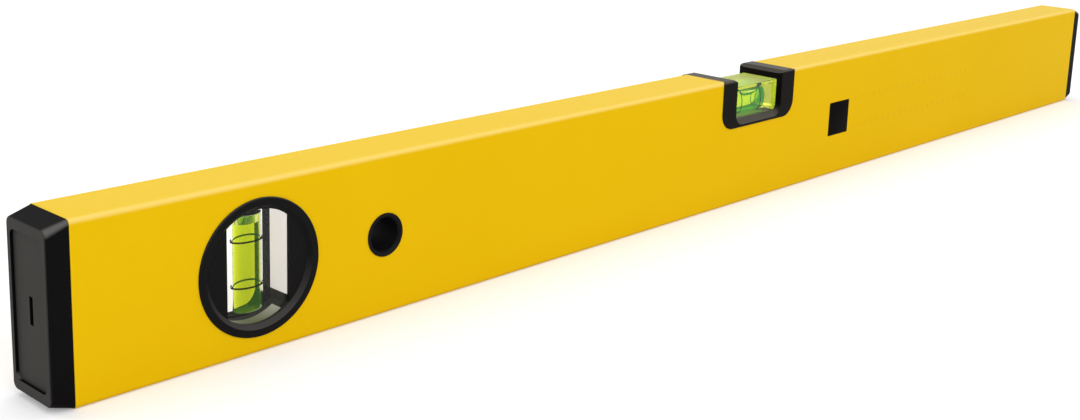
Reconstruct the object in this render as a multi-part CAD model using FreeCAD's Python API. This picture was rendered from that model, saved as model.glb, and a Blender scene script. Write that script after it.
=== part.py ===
import FreeCAD, Part
import os
from math import sqrt

# A 60 cm box beam level. Lengths are in millimetres.
# X runs along the level, Y from the front face to the back face, and Z up from the measuring base.
# The origin is the middle of the measuring base. The level vial is set in the top edge, and the
# plumb vial and the hanging hole are in the left half.

Vector = FreeCAD.Vector
ALONG = Vector(1, 0, 0)
BACK = Vector(0, 1, 0)
UP = Vector(0, 0, 1)

# Whole level
level_length = 600.0
profile_height = 50.0
profile_depth = 20.0

# Extruded box profile
side_wall = 1.4
edge_wall = 2.2
outer_corner_radius = 1.5
inner_corner_radius = 0.8

# End caps: a collar outside the profile and a ribbed plug inside it
collar_length = 6.5
collar_step = 0.15
collar_rise = 1.75
collar_side_draw = 0.1
collar_base_radius = 1.4
collar_end_radius = 2.2
collar_rim_radius = 0.6
end_wall = 2.4
plug_length = 16.0
plug_wall = 1.8
plug_gap = 0.4
plug_corner_radius = 1.0
rib_width = 2.0
rib_place_share = 0.25
recess_side_margin = 1.9
recess_end_margin = 3.0
recess_depth = 0.9
recess_corner_radius = 1.8
slot_width = 1.7
slot_height = 7.6

# Plumb vial unit: two black bezels with a pale carrier between them
plumb_from_end = 63.0
bezel_proud = 0.5
bezel_lap = 0.9
bezel_hole_gap = 0.1
bezel_edge_radius = 0.3
window_rim = 2.5
window_half_width = 10.4
front_dish_depth = 1.2
front_dish_spread = 1.3
front_plate = 1.1
carrier_depth = 13.9
carrier_wall = 2.0
rear_plate = 3.6
rear_dish_spread = 1.3
plumb_pin_radius = 1.1
plumb_pin_place_share = 0.454
plumb_pin_rise = 5.0
plumb_pin_front_bite = 0.6
plumb_pin_rear_bite = 3.0

# Plumb vial: a clear block that fills the window, and in it an upright tube with a barrel bore,
# a plug, fluid and a bubble
plumb_block_radius = 17.0
tube_radius = 5.05
tube_cover = 2.91
plumb_bore_middle_radius = 4.5
plumb_bore_bulge = 0.15
plumb_bore_round = 0.6
plumb_bore_cover = 2.9
plumb_plug_lip = 0.3
plumb_line_spacing = 13.3
plumb_line_width = 0.5
plumb_line_thickness = 0.1
plumb_bubble_height = 2.5
plumb_bubble_gap = 0.15
plumb_bubble_top_round = 0.8
plumb_bubble_foot_round = 0.4

# Hanging hole with its two-part bush
hang_hole_from_end = 108.2
bush_flange_proud = 0.3
bush_lap = 0.5
bush_hole_gap = 0.1
bush_bore_radius = 5.3
bush_wall = 0.8
bush_mouth_chamfer = 0.6

# Level vial unit: a U-shaped frame in a notch of the top edge
frame_arm = 9.1
frame_floor = 2.9
frame_corner_radius = 6.5
frame_proud = 0.4
frame_lap = 1.0
frame_notch_gap = 0.1
frame_top_radius = 0.9
frame_window_radius = 2.5
frame_chamfer_depth = 2.4
frame_chamfer_side = 0.5
frame_chamfer_floor = 2.0
frame_top_bevel = 1.2
frame_top_bevel_width = 2.0

# Level vial: an acrylic block with a barrel bore, a plug, fluid and a bubble
block_top_drop = 3.5
block_edge_radius = 0.3
block_end_wall = 5.4
level_bore_cover = 2.5
level_bore_floor = 0.8
level_bore_length = 18.4
level_bore_middle_radius = 4.6
level_bore_bulge = 0.2
level_bore_round = 2.2
level_plug_lip = 0.4
level_plug_inset = 0.9
level_line_spacing = 12.6
level_line_width = 0.45
level_line_thickness = 0.15
level_pin_radius = 0.9
level_pin_edge = 3.8
level_pin_setback = 6.0
level_pin_block_bite = 1.3
level_pin_frame_bite = 1.5
level_resin_length = 17.0
level_resin_width = 10.0
level_resin_thickness = 0.6
level_bubble_length = 11.2
level_bubble_width = 6.6
level_bubble_height = 3.8
level_bubble_sink = 0.5
level_bubble_gap = 0.1

# Film between a bubble and the fluid solid round it
film = 0.1

# How far apart two places can be and still count as one when edges are picked
near = 0.05

# How far every cutting tool runs past the face that it cuts
overrun = 2.0

full_turn = 360

# Places that follow from the sizes above
profile_length = level_length - 2 * collar_length
front_face = -profile_depth / 2
rear_face = profile_depth / 2
mid_height = profile_height / 2
plumb_x = plumb_from_end - level_length / 2
hang_hole_x = hang_hole_from_end - level_length / 2
bezel_collar_radius = plumb_block_radius + carrier_wall
bezel_hole_radius = bezel_collar_radius + bezel_hole_gap
bezel_radius = bezel_hole_radius + bezel_lap
window_radius = bezel_collar_radius - window_rim
bezel_front = front_face - bezel_proud
bezel_rear = rear_face + bezel_proud
front_plate_face = bezel_front + front_dish_depth
carrier_front = front_plate_face + front_plate
carrier_rear = carrier_front + carrier_depth
rear_plate_back = carrier_rear + rear_plate
plumb_centre = Vector(plumb_x, 0, mid_height)
tube_axis_y = carrier_front + tube_cover + tube_radius
tube_centre = Vector(plumb_x, tube_axis_y, mid_height)
plumb_bore_length = 2 * (plumb_block_radius - plumb_bore_cover)
plumb_bore_end_radius = plumb_bore_middle_radius - plumb_bore_bulge
plumb_bore_top = mid_height + plumb_bore_length / 2
plumb_surface = plumb_bore_top - plumb_bubble_gap - plumb_bubble_height
bush_sleeve_radius = bush_bore_radius + bush_wall
bush_hole_radius = bush_sleeve_radius + bush_hole_gap
bush_flange_radius = bush_hole_radius + bush_lap
block_top = profile_height - block_top_drop
bore_top = block_top - level_bore_cover
window_floor = bore_top - 2 * level_bore_middle_radius - level_bore_floor
bore_centre = Vector(0, 0, bore_top - level_bore_middle_radius)
level_bore_end_radius = level_bore_middle_radius - level_bore_bulge
frame_window_half_width = level_bore_length / 2 + block_end_wall
frame_half_width = frame_window_half_width + frame_arm
frame_foot = window_floor - frame_floor
notch_half_width = frame_half_width - frame_lap
notch_floor = frame_foot + frame_lap
notch_corner_radius = frame_corner_radius - frame_lap
frame_front = front_face - frame_proud
frame_rear = rear_face + frame_proud
block_front = frame_front + frame_chamfer_depth
block_rear = frame_rear - frame_chamfer_depth


def box_between(low, high):
    """A box from its lowest corner to its highest corner."""
    size = high - low
    return Part.makeBox(size.x, size.y, size.z, low)


def round_bar(centre, direction, radius, start, end):
    """A cylinder about a line through a point, from one distance along the line to another."""
    return Part.makeCylinder(radius, end - start, centre + direction * start, direction)


def rounded_rectangle(corner, across, up, width, height, radius):
    """A closed wire with four round corners, from its first corner and two directions."""
    inset = radius * (1 - sqrt(1 / 2))
    corners = [
        corner,
        corner + across * width,
        corner + across * width + up * height,
        corner + up * height,
    ]
    directions = [across, up, across * -1, up * -1]
    edges = []
    for index in range(len(corners)):
        here = corners[index]
        arriving = directions[index - 1]
        leaving = directions[index]
        following = corners[(index + 1) % len(corners)]
        arc_start = here - arriving * radius
        arc_middle = here - arriving * inset + leaving * inset
        arc_end = here + leaving * radius
        edges.append(Part.Arc(arc_start, arc_middle, arc_end).toShape())
        edges.append(Part.LineSegment(arc_end, following - leaving * radius).toShape())
    return Part.Wire(edges)


def section_across(x, half_depth, low, high, radius):
    """An upright rounded rectangle across the level, seen along X."""
    corner = Vector(x, -half_depth, low)
    return rounded_rectangle(corner, BACK, UP, 2 * half_depth, high - low, radius)


def section_facing(y, half_width, low, high, radius):
    """An upright rounded rectangle in the plane of the faces, centred on X = 0."""
    corner = Vector(-half_width, y, low)
    return rounded_rectangle(corner, ALONG, UP, 2 * half_width, high - low, radius)


def slab(wire, travel):
    """A flat wire filled and extruded."""
    return Part.Face(wire).extrude(travel)


def notch_block(y_start, y_end, half_width, floor, radius):
    """The space of a notch in the top edge: round lower corners, open above the profile."""
    above = profile_height + overrun + radius
    return slab(section_facing(y_start, half_width, floor, above, radius), BACK * (y_end - y_start))


def rim_edges(solid, centre, direction, radius):
    """The circular edges of a given radius about a line."""
    found = []
    for edge in solid.Edges:
        if isinstance(edge.Curve, Part.Circle):
            offset = edge.Curve.Center - centre
            off_axis = offset - direction * offset.dot(direction)
            if off_axis.Length < near and abs(edge.Curve.Radius - radius) < near:
                found.append(edge)
    return found


def barrel(centre, axis, half_length, middle_radius, end_radius, low_round, high_round):
    """A bore that bulges in the middle, with rounded or flat ends."""

    def point(along, out):
        return centre + axis * along + BACK * out

    def end_corner(side, rounding):
        along = side * (half_length - rounding)
        out = end_radius - rounding
        reach = rounding * sqrt(1 / 2)
        face_point = point(side * half_length, out)
        wall_point = point(along, end_radius)
        return [face_point, point(along + side * reach, out + reach), wall_point]

    low = end_corner(-1, low_round)
    high = end_corner(1, high_round)
    low_centre = point(-half_length, 0)
    high_centre = point(half_length, 0)
    edges = [Part.LineSegment(low_centre, low[0]).toShape()]
    if low_round > 0:
        edges.append(Part.Arc(low[0], low[1], low[2]).toShape())
    edges.append(Part.Arc(low[2], point(0, middle_radius), high[2]).toShape())
    if high_round > 0:
        edges.append(Part.Arc(high[2], high[1], high[0]).toShape())
    edges.append(Part.LineSegment(high[0], high_centre).toShape())
    edges.append(Part.LineSegment(high_centre, low_centre).toShape())
    return Part.Face(Part.Wire(edges)).revolve(centre, axis, full_turn)


def ring(centre, direction, inner_radius, thickness, start, width):
    """A thin band round a line, on or in a round wall."""
    outer = round_bar(centre, direction, inner_radius + thickness, start, start + width)
    inner = round_bar(centre, direction, inner_radius, start - overrun, start + width + overrun)
    return outer.cut(inner)


def make_profile():
    """The box beam, cut out for both vials and the hanging hole."""
    half = profile_length / 2
    outer = section_across(-half, rear_face, 0, profile_height, outer_corner_radius)
    inner = section_across(
        -half - overrun,
        rear_face - side_wall,
        edge_wall,
        profile_height - edge_wall,
        inner_corner_radius,
    )
    beam = slab(outer, ALONG * profile_length)
    beam = beam.cut(slab(inner, ALONG * (profile_length + 2 * overrun)))
    reach = rear_face + overrun
    beam = beam.cut(round_bar(plumb_centre, BACK, bezel_hole_radius, -reach, reach))
    hang_centre = Vector(hang_hole_x, 0, mid_height)
    beam = beam.cut(round_bar(hang_centre, BACK, bush_hole_radius, -reach, reach))
    return beam.cut(notch_block(-reach, reach, notch_half_width, notch_floor, notch_corner_radius))


def cap_ribs(plug_start, plug_end, half_depth, low, high):
    """Ribs that take up the gap between the plug and the inside of the profile."""
    ribs = []
    inset = (high - low) * rib_place_share
    for side in (-1, 1):
        inner = side * half_depth
        outer = side * (half_depth + plug_gap)
        for height in (low + inset, high - inset):
            foot = Vector(plug_start, min(inner, outer), height - rib_width / 2)
            tip = Vector(plug_end, max(inner, outer), height + rib_width / 2)
            ribs.append(box_between(foot, tip))
    for start, end in ((low - plug_gap, low), (high, high + plug_gap)):
        foot = Vector(plug_start, -rib_width / 2, start)
        tip = Vector(plug_end, rib_width / 2, end)
        ribs.append(box_between(foot, tip))
    return ribs


def make_right_cap():
    """A moulded end cap: drawn-in collar, recessed end face with a slot, hollow ribbed plug."""
    collar_start = profile_length / 2
    collar_end = level_length / 2
    base_half_depth = rear_face - collar_step
    end_half_depth = base_half_depth - collar_side_draw
    end_low = collar_step + collar_rise
    end_high = profile_height - end_low
    base = section_across(
        collar_start, base_half_depth, collar_step, profile_height - collar_step, collar_base_radius
    )
    tip = section_across(collar_end, end_half_depth, end_low, end_high, collar_end_radius)
    collar = Part.makeLoft([base, tip], True, True)
    rim = [edge for edge in collar.Edges if edge.BoundBox.XMin > collar_end - near]
    collar = collar.makeFillet(collar_rim_radius, rim)
    half_depth = rear_face - side_wall - plug_gap
    low = edge_wall + plug_gap
    high = profile_height - low
    plug_start = collar_start - plug_length
    plug_wire = section_across(plug_start, half_depth, low, high, plug_corner_radius)
    cap = collar.fuse(slab(plug_wire, ALONG * (plug_length + end_wall)))
    for rib in cap_ribs(plug_start, collar_start, half_depth, low, high):
        cap = cap.fuse(rib)
    recess_floor = collar_end - recess_depth
    hollow = box_between(
        Vector(plug_start - overrun, plug_wall - half_depth, low + plug_wall),
        Vector(recess_floor - end_wall, half_depth - plug_wall, high - plug_wall),
    )
    recess = section_across(
        recess_floor,
        end_half_depth - recess_side_margin,
        end_low + recess_end_margin,
        end_high - recess_end_margin,
        recess_corner_radius,
    )
    slot = box_between(
        Vector(recess_floor - end_wall - overrun, -slot_width / 2, mid_height - slot_height / 2),
        Vector(collar_end, slot_width / 2, mid_height + slot_height / 2),
    )
    cap = cap.cut(hollow).cut(slab(recess, ALONG * (recess_depth + overrun))).cut(slot)
    return cap.removeSplitter()


def make_left_cap():
    """The same moulding on the other end."""
    return make_right_cap().mirror(Vector(0, 0, 0), ALONG)


def flat_sided_disc(radius, start, end):
    """A round slab of the plumb unit with flat sides as far apart as the window's."""
    circle = round_bar(plumb_centre, BACK, radius, start, end)
    flats = box_between(
        Vector(plumb_x - window_half_width, start, mid_height - bezel_radius),
        Vector(plumb_x + window_half_width, end, mid_height + bezel_radius),
    )
    return circle.common(flats)


def plumb_window(start, end):
    """The see-through space of a bezel."""
    return flat_sided_disc(window_radius, start, end)


def plumb_block_space():
    """The space between the bezels that the clear block and the tube in it fill."""
    return flat_sided_disc(plumb_block_radius, carrier_front, carrier_rear)


def plumb_pins():
    """Four pins that hold the bezels and the carrier in line."""
    start = carrier_front - plumb_pin_front_bite
    end = carrier_rear + plumb_pin_rear_bite
    half_width = sqrt(bezel_collar_radius**2 - plumb_pin_rise**2)
    pin_side = window_half_width + (half_width - window_half_width) * plumb_pin_place_share
    pins = []
    for side in (-pin_side, pin_side):
        for rise in (-plumb_pin_rise, plumb_pin_rise):
            place = plumb_centre + Vector(side, 0, rise)
            pins.append(round_bar(place, BACK, plumb_pin_radius, start, end))
    return Part.makeCompound(pins)


def make_bezel_front():
    """Flange on the front face, shallow dish, and the window plate."""
    flange = round_bar(plumb_centre, BACK, bezel_radius, bezel_front, front_face)
    outer_rim = rim_edges(flange, plumb_centre, BACK, bezel_radius)
    outer_rim = [edge for edge in outer_rim if edge.Curve.Center.y < front_face - near]
    flange = flange.makeFillet(bezel_edge_radius, outer_rim)
    collar = round_bar(plumb_centre, BACK, bezel_collar_radius, front_face, carrier_front)
    bezel = flange.fuse(collar)
    dish = Part.makeCone(
        window_radius + front_dish_spread,
        window_radius,
        front_dish_depth,
        plumb_centre + BACK * bezel_front,
        BACK,
    )
    bezel = bezel.cut(dish).cut(plumb_window(bezel_front, carrier_front + overrun))
    return bezel.cut(plumb_pins()).removeSplitter()


def make_bezel_rear():
    """Flange on the rear face, shallow dish, and the thicker rear window plate."""
    flange = round_bar(plumb_centre, BACK, bezel_radius, rear_face, bezel_rear)
    outer_rim = rim_edges(flange, plumb_centre, BACK, bezel_radius)
    outer_rim = [edge for edge in outer_rim if edge.Curve.Center.y > rear_face + near]
    flange = flange.makeFillet(bezel_edge_radius, outer_rim)
    collar = round_bar(plumb_centre, BACK, bezel_collar_radius, carrier_rear, rear_face)
    bezel = flange.fuse(collar)
    dish = Part.makeCone(
        window_radius,
        window_radius + rear_dish_spread,
        bezel_rear - rear_plate_back,
        plumb_centre + BACK * rear_plate_back,
        BACK,
    )
    bezel = bezel.cut(dish).cut(plumb_window(carrier_rear - overrun, bezel_rear))
    return bezel.cut(plumb_pins()).removeSplitter()


def make_carrier():
    """The pale ring between the bezels, round the clear block."""
    disc = round_bar(plumb_centre, BACK, bezel_collar_radius, carrier_front, carrier_rear)
    opening = flat_sided_disc(plumb_block_radius, carrier_front - overrun, carrier_rear + overrun)
    return disc.cut(opening).cut(plumb_pins())


def plumb_bore():
    """The plumb vial's bore: rounded at the foot, flat under the plug."""
    return barrel(
        tube_centre,
        UP,
        plumb_bore_length / 2,
        plumb_bore_middle_radius,
        plumb_bore_end_radius,
        plumb_bore_round,
        0,
    )


def make_plumb_plug():
    """The plug in the upper end of the tube."""
    radius = plumb_bore_end_radius + plumb_plug_lip
    top = plumb_block_radius + overrun
    plug = round_bar(tube_centre, UP, radius, plumb_bore_length / 2, top)
    return plug.common(plumb_block_space())


def make_tube():
    """The clear tube, ground flush with the block, with its bore and the seat of its plug."""
    reach = plumb_block_radius + overrun
    tube = round_bar(tube_centre, UP, tube_radius, -reach, reach).common(plumb_block_space())
    return tube.cut(plumb_bore()).cut(make_plumb_plug())


def make_plumb_fluid():
    """The fluid up to its surface under the bubble."""
    above = box_between(
        Vector(plumb_x - tube_radius, tube_axis_y - tube_radius, plumb_surface - film),
        Vector(plumb_x + tube_radius, tube_axis_y + tube_radius, mid_height + plumb_block_radius),
    )
    return plumb_bore().cut(above)


def make_plumb_bubble():
    """The gas that gathers under the plug while the level lies flat."""
    radius = plumb_bore_end_radius - plumb_bubble_gap
    foot = plumb_surface - mid_height
    bubble = round_bar(tube_centre, UP, radius, foot, foot + plumb_bubble_height)
    rims = rim_edges(bubble, tube_centre, UP, radius)
    rims.sort(key=lambda edge: edge.Curve.Center.z)
    bubble = bubble.makeFillet(plumb_bubble_foot_round, rims[:1])
    rims = rim_edges(bubble, tube_centre, UP, radius)
    top_rim = [edge for edge in rims if edge.Curve.Center.z > plumb_surface + plumb_bubble_height / 2]
    return bubble.makeFillet(plumb_bubble_top_round, top_rim)


def make_plumb_lines():
    """The two reading lines round the outside of the tube."""
    bands = []
    for side in (-1, 1):
        start = side * plumb_line_spacing / 2 - plumb_line_width / 2
        bands.append(ring(tube_centre, UP, tube_radius, plumb_line_thickness, start, plumb_line_width))
    return Part.makeCompound(bands)


def make_plumb_block():
    """The clear block that fills the window and holds the tube and its lines."""
    reach = plumb_block_radius + overrun
    tube = round_bar(tube_centre, UP, tube_radius, -reach, reach)
    return plumb_block_space().cut(tube).cut(make_plumb_lines())


def make_front_bush():
    """Half of the hanging hole's bush: a sleeve with a flange and a chamfered mouth."""
    centre = Vector(hang_hole_x, 0, mid_height)
    mouth = front_face - bush_flange_proud
    flange = round_bar(centre, BACK, bush_flange_radius, mouth, front_face)
    sleeve = round_bar(centre, BACK, bush_sleeve_radius, front_face, 0)
    bush = flange.fuse(sleeve)
    bush = bush.cut(round_bar(centre, BACK, bush_bore_radius, mouth - overrun, overrun))
    chamfer = Part.makeCone(
        bush_bore_radius + bush_mouth_chamfer,
        bush_bore_radius,
        bush_mouth_chamfer,
        centre + BACK * mouth,
        BACK,
    )
    return bush.cut(chamfer).removeSplitter()


def make_rear_bush():
    """The same half from the back."""
    return make_front_bush().mirror(Vector(0, 0, 0), BACK)


def frame_flare(face, inward):
    """The sloped edge round a window of the level frame, from one face inwards."""
    above = profile_height + overrun
    wide = section_facing(
        face,
        frame_window_half_width + frame_chamfer_side,
        window_floor - frame_chamfer_floor,
        above + frame_window_radius + frame_chamfer_side,
        frame_window_radius + frame_chamfer_floor,
    )
    narrow = section_facing(
        face + inward * frame_chamfer_depth,
        frame_window_half_width,
        window_floor,
        above + frame_window_radius,
        frame_window_radius,
    )
    return Part.makeLoft([wide, narrow], True, True)


def frame_top_flare():
    """The bevels on the inner top edges of the two arms."""
    slope = frame_top_bevel_width / frame_top_bevel
    rise = frame_top_bevel + overrun
    low = profile_height - frame_top_bevel
    inner = frame_window_half_width
    outer = inner + rise * slope
    corners = [
        Vector(-inner, frame_front, low),
        Vector(inner, frame_front, low),
        Vector(outer, frame_front, low + rise),
        Vector(-outer, frame_front, low + rise),
    ]
    outline = Part.makePolygon(corners + corners[:1])
    return slab(outline, BACK * (frame_rear - frame_front))


def make_level_pins():
    """Two pins from the frame's floor into the block, clear of the bore and its plug."""
    pins = []
    reach = frame_window_half_width - level_pin_edge
    for side in (-1, 1):
        place = Vector(side * reach, side * level_pin_setback, window_floor)
        pins.append(round_bar(place, UP, level_pin_radius, -level_pin_frame_bite, level_pin_block_bite))
    return Part.makeCompound(pins)


def make_level_resin():
    """The bed of cast resin in the frame's floor, under the block."""
    return box_between(
        Vector(
            -level_resin_length / 2,
            bore_centre.y - level_resin_width / 2,
            window_floor - level_resin_thickness,
        ),
        Vector(level_resin_length / 2, bore_centre.y + level_resin_width / 2, window_floor),
    )


def make_level_frame():
    """The U-shaped frame: a body that fills the notch, and a lip over each face."""
    frame = notch_block(
        frame_front,
        frame_rear,
        notch_half_width - frame_notch_gap,
        notch_floor + frame_notch_gap,
        notch_corner_radius,
    )
    for y_start in (frame_front, rear_face):
        y_end = y_start + frame_proud
        lip = notch_block(y_start, y_end, frame_half_width, frame_foot, frame_corner_radius)
        frame = frame.fuse(lip)
    envelope = section_across(
        -frame_half_width - overrun, frame_rear, 0, profile_height, frame_top_radius
    )
    frame = frame.common(slab(envelope, ALONG * 2 * (frame_half_width + overrun)))
    window = notch_block(
        frame_front - overrun,
        frame_rear + overrun,
        frame_window_half_width,
        window_floor,
        frame_window_radius,
    )
    frame = frame.cut(window)
    frame = frame.cut(frame_flare(frame_front, 1)).cut(frame_flare(frame_rear, -1))
    frame = frame.cut(frame_top_flare())
    frame = frame.cut(make_level_resin()).cut(make_level_pins())
    return frame.removeSplitter()


def level_bore():
    """The level vial's bore, along the level."""
    return barrel(
        bore_centre,
        ALONG,
        level_bore_length / 2,
        level_bore_middle_radius,
        level_bore_end_radius,
        level_bore_round,
        level_bore_round,
    )


def level_plug_seat(end):
    """The straight seat of the plug, from inside the bore's end towards the block's right side."""
    radius = level_bore_end_radius + level_plug_lip
    start = level_bore_length / 2 - level_bore_round
    return round_bar(bore_centre, ALONG, radius, start, end)


def make_level_plug():
    """The plug that closes the bore; its face carries the bore's rounded end."""
    plug = level_plug_seat(frame_window_half_width - level_plug_inset)
    return plug.common(block_blank()).cut(level_bore())


def make_level_lines():
    """The two reading lines let into the wall of the bore."""
    bands = []
    for side in (-1, 1):
        start = side * level_line_spacing / 2 - level_line_width / 2
        bands.append(
            ring(
                bore_centre,
                ALONG,
                level_bore_middle_radius,
                level_line_thickness,
                start,
                level_line_width,
            )
        )
    return Part.makeCompound(bands)


def block_blank():
    """The block before it is bored, with its top edges eased."""
    block = notch_block(
        block_front, block_rear, frame_window_half_width, window_floor, frame_window_radius
    )
    sky = box_between(
        Vector(-frame_half_width, block_front - overrun, block_top),
        Vector(
            frame_half_width,
            block_rear + overrun,
            profile_height + 2 * overrun + frame_window_radius,
        ),
    )
    block = block.cut(sky)
    top_edges = [edge for edge in block.Edges if edge.BoundBox.ZMin > block_top - near]
    return block.makeFillet(block_edge_radius, top_edges)


def make_block():
    """The acrylic block, bored from its right side."""
    block = block_blank().cut(level_plug_seat(frame_window_half_width + overrun))
    return block.cut(level_bore()).cut(make_level_lines()).cut(make_level_pins())


def bubble_space(growth):
    """The lens that the bubble takes under the top of the bore, grown on all sides by a film."""
    stretch = FreeCAD.Matrix()
    stretch.scale(
        level_bubble_length / 2 + growth,
        level_bubble_width / 2 + growth,
        level_bubble_height / 2 + growth,
    )
    lens = Part.makeSphere(1).transformGeometry(stretch)
    lens.translate(bore_centre + UP * (level_bore_middle_radius - level_bubble_sink))
    radius = level_bore_end_radius - level_bubble_gap + growth
    half = level_bore_length / 2
    return lens.common(round_bar(bore_centre, ALONG, radius, -half, half))


def make_level_fluid():
    """The fluid of the level vial, round its bubble."""
    return level_bore().cut(bubble_space(film))


PIECES = {
    "profile": make_profile,
    "end_cap_left": make_left_cap,
    "end_cap_right": make_right_cap,
    "plumb_bezel_front": make_bezel_front,
    "plumb_bezel_rear": make_bezel_rear,
    "plumb_carrier": make_carrier,
    "plumb_mounting_pins": plumb_pins,
    "plumb_vial_block": make_plumb_block,
    "plumb_vial_tube": make_tube,
    "plumb_vial_plug": make_plumb_plug,
    "plumb_vial_lines": make_plumb_lines,
    "plumb_fluid": make_plumb_fluid,
    "plumb_bubble": make_plumb_bubble,
    "hang_hole_bush_front": make_front_bush,
    "hang_hole_bush_rear": make_rear_bush,
    "level_frame": make_level_frame,
    "level_mounting_pins": make_level_pins,
    "level_resin_bed": make_level_resin,
    "level_vial_block": make_block,
    "level_vial_plug": make_level_plug,
    "level_vial_lines": make_level_lines,
    "level_fluid": make_level_fluid,
    "level_bubble": lambda: bubble_space(0),
}

os.makedirs("parts", exist_ok=True)
for name, make in PIECES.items():
    shape = make()
    shape.exportStep("parts/" + name + ".step")
    print(name, len(shape.Solids), "solid(s),", round(shape.Volume), "mm3, valid", shape.isValid())
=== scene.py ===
# %% [markdown]
# # A box beam level in its studio light
#
# The level is a hollow aluminium beam with a yellow coat. It has two black end caps, a round unit
# with an upright vial, a bushed hanging hole and a clear block with the main vial in its top edge.
# The CAD model gives every piece its place and size. This lesson gives each piece its finish, and
# it rebuilds the clear pieces, because glass needs its surfaces in another order than solids do.

import bmesh
import bpy
from math import asin, cos, pi, radians, sin, sqrt
from mathutils import Matrix, Vector


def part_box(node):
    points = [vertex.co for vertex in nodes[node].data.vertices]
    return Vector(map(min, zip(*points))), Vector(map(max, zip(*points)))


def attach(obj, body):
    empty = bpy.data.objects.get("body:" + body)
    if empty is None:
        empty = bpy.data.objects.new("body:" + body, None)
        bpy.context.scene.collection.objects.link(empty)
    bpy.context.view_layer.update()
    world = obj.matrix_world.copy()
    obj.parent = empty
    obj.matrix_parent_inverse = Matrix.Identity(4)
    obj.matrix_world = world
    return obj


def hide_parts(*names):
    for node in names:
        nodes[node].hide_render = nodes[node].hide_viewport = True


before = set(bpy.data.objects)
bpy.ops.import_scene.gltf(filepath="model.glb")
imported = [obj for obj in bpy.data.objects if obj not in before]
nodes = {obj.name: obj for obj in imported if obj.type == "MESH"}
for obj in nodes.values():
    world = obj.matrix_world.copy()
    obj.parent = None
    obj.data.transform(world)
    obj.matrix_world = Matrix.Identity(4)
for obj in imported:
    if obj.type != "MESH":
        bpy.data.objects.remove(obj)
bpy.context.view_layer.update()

# %% [markdown]
# ## Units and small helpers
#
# The scene is in metres, and a vial is measured in tenths of a millimetre. One named millimetre
# keeps the sizes readable. A helper turns a list of corners and faces into an object that rides on
# its CAD body, so that every piece is made the same way.

# %% Millimetres, finishes and pieces
MM = 0.001
LEVEL_BODY = "level_body"
LEVEL_BUBBLE_BODY = "level_vial_bubble"
PLUMB_BUBBLE_BODY = "plumb_vial_bubble"


def finish_with(piece, material):
    """Gives a piece one material."""
    piece.data.materials.clear()
    piece.data.materials.append(material)


def smooth_over(mesh, sharp_angle=30):
    """Smooth shading, with a hard line wherever two faces meet at more than the angle."""
    mesh.shade_smooth()
    mesh.set_sharp_from_angle(angle=radians(sharp_angle))


def new_piece(name, shape, material, body=LEVEL_BODY, sharp_angle=30):
    """An object from a bmesh, shaded, finished and riding on its body."""
    bmesh.ops.recalc_face_normals(shape, faces=shape.faces)
    mesh = bpy.data.meshes.new(name)
    shape.to_mesh(mesh)
    shape.free()
    smooth_over(mesh, sharp_angle)
    piece = bpy.data.objects.new(name, mesh)
    bpy.context.scene.collection.objects.link(piece)
    finish_with(piece, material)
    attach(piece, body)
    print(name, len(mesh.vertices), "points")
    return piece


# %% [markdown]
# ## The camera
#
# The photograph was taken from the left, a hand's breadth above the level, so that the near end
# looks twice as tall as the far end. The camera's place, its turn and its focal length were fitted
# to the outline of the level, which is 600 mm long, and to its vials and its hole. A product
# photographer shifts the lens to keep upright edges upright. A tenth of the picture's width is
# enough shift to frame the level, and a larger one would push it out of other views.

# %% Camera
photo_width_px = 1080
photo_height_px = 420
focal_length_px = 1440.4
axis_row_px = 102
camera_place = Vector((-462.8, -322.4, 157.0)) * MM
camera_yaw = radians(47.165)
camera_pitch = radians(-12.334)
camera_roll = radians(1.944)


def camera_matrix(place, yaw, pitch, roll):
    """Where the camera stands and how it is turned. Yaw 0 looks along +Y."""
    ahead = Vector((sin(yaw) * cos(pitch), cos(yaw) * cos(pitch), sin(pitch)))
    level_right = Vector((cos(yaw), -sin(yaw), 0))
    level_up = level_right.cross(ahead)
    right = level_right * cos(roll) + level_up * sin(roll)
    up = level_up * cos(roll) - level_right * sin(roll)
    turn = Matrix((right, up, -ahead)).transposed()
    return Matrix.Translation(place) @ turn.to_4x4()


camera_data = bpy.data.cameras.new("camera")
camera_data.sensor_fit = "HORIZONTAL"
camera_data.lens = focal_length_px / photo_width_px * camera_data.sensor_width
camera_data.shift_y = (axis_row_px - photo_height_px / 2) / photo_width_px
camera_data.clip_start = 10 * MM
camera_data.clip_end = 50
camera = bpy.data.objects.new("camera", camera_data)
bpy.context.scene.collection.objects.link(camera)
camera.matrix_world = camera_matrix(camera_place, camera_yaw, camera_pitch, camera_roll)
bpy.context.scene.camera = camera
print("lens", round(camera_data.lens, 1), "mm, shift", round(camera_data.shift_y, 3))

# %% [markdown]
# ## The studio
#
# The photograph has a plain white background and soft light from all sides. A large floor and an
# even world do most of that. Three soft lamps, one in front, one overhead and a weaker one behind,
# give the front face, the top edge and the back their levels. Rays that the camera, a gloss or a
# glass sends out see the background as plain white, while the light that falls on the level stays
# moderate.

# %% Floor, world and lamps
floor_size = 12.0
floor_drop = 0.02 * MM
floor_tone = 0.86
floor_roughness = 0.9
floor_shine = 0.1
floor_lift = 0.24
ambient_level = 0.62


def background_rays(tree):
    """One where a ray comes from the camera, a gloss or a glass, and zero where it lights."""
    path = tree.nodes.new("ShaderNodeLightPath")
    glossy = tree.nodes.new("ShaderNodeMath")
    glossy.operation = "MAXIMUM"
    tree.links.new(path.outputs["Is Camera Ray"], glossy.inputs[0])
    tree.links.new(path.outputs["Is Glossy Ray"], glossy.inputs[1])
    clear = tree.nodes.new("ShaderNodeMath")
    clear.operation = "MAXIMUM"
    tree.links.new(glossy.outputs[0], clear.inputs[0])
    tree.links.new(path.outputs["Is Transmission Ray"], clear.inputs[1])
    return clear.outputs[0]


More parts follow.
